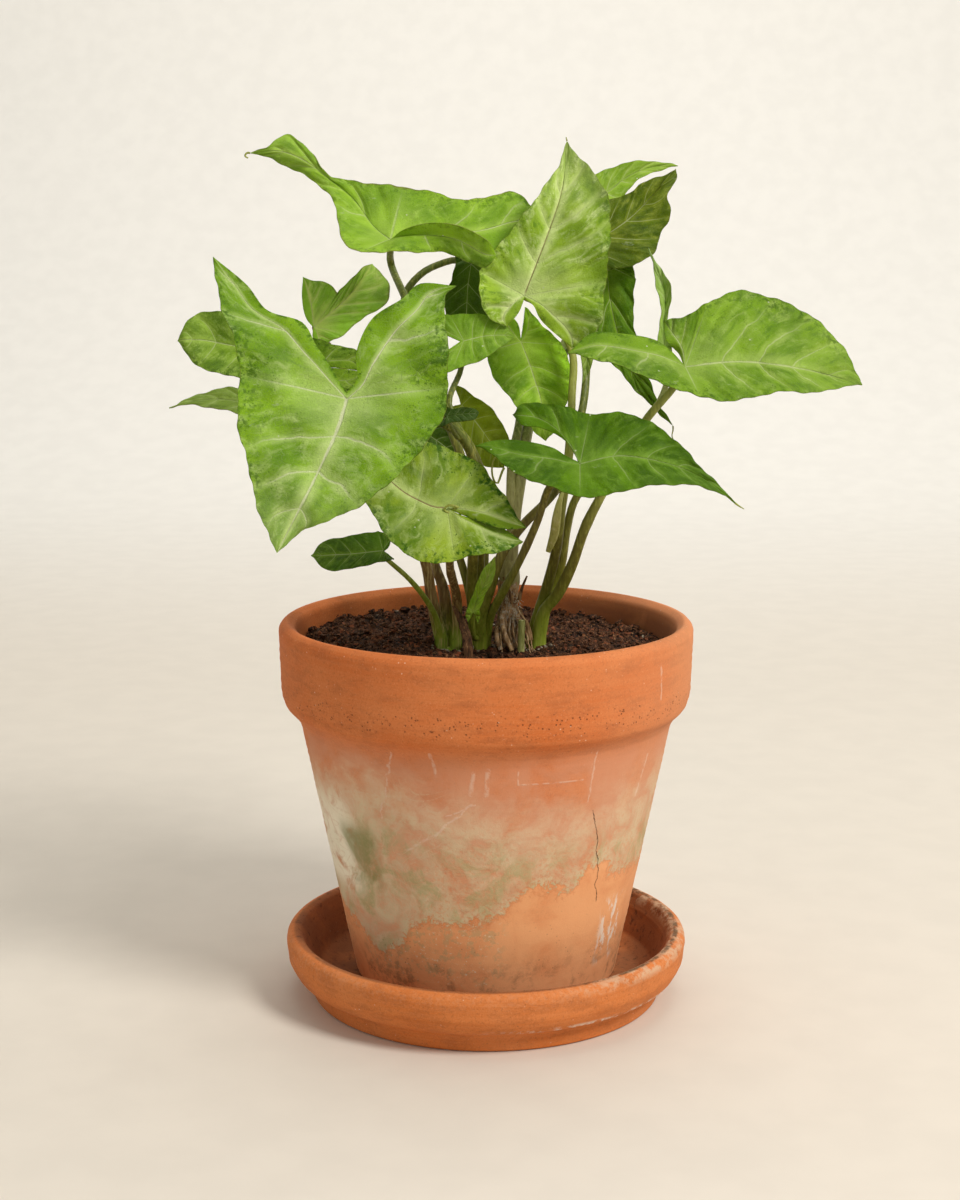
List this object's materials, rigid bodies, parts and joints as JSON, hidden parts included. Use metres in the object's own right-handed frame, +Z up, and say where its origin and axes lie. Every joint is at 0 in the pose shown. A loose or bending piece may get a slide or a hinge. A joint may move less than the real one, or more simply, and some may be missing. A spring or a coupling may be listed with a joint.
{
  "type": "arrowhead plant",
  "caption": "Potted arrowhead vine with broad arrow-shaped leaves on slender upright stems, in a round clay pot that stands on a matching saucer.",
  "frame": {"origin": "middle of the saucer's underside, on the surface it stands on", "axes": "+Z up along the pot's axis, the pictured front looks along -Y, +X to the viewer's right"},
  "size_m": [0.276, 0.1749, 0.3441],
  "materials": {
    "terracotta": "fired clay, dull",
    "soil": "damp crumbly potting mix",
    "leaf_green": "waxy leaf, mid green",
    "leaf_pale": "waxy leaf, pale green",
    "leaf_dark": "waxy leaf, dark green",
    "leaf_olive": "waxy leaf, olive green",
    "stem_brown": "smooth stem, brownish olive",
    "stem_green": "smooth stem, olive green",
    "stem_pale": "smooth stem, pale green",
    "bark": "rough woody stem and roots",
    "stub": "cut green stem",
    "dried": "papery dried sheath"
  },
  "bodies": {
    "root": {"cut_stub": "stub", "dried_sheath": "dried", "leaf_back_dark": "leaf_dark", "leaf_back_left": "leaf_green", "leaf_centre": "leaf_green", "leaf_centre_left": "leaf_green", "leaf_curled_tip": "leaf_green", "leaf_dark_curl": "leaf_dark", "leaf_front_left": "leaf_green", "leaf_hanging": "leaf_green", "leaf_left": "leaf_green", "leaf_left_narrow": "leaf_green", "leaf_low_left": "leaf_green", "leaf_lower_centre": "leaf_pale", "leaf_narrow_right": "leaf_green", "leaf_olive": "leaf_olive", "leaf_right": "leaf_green", "leaf_right_low": "leaf_dark", "leaf_shade": "leaf_dark", "leaf_top_centre": "leaf_pale", "leaf_top_left": "leaf_green", "leaf_top_right": "leaf_olive", "leaf_top_right_back": "leaf_green", "leaf_young": "leaf_pale", "pot": "terracotta", "saucer": "terracotta", "soil": "soil", "stems_back": "stem_pale", "stems_left": "stem_brown", "stems_middle": "stem_green", "stems_right": "stem_green", "woody_stump": "bark"}
  },
  "joints": []
}
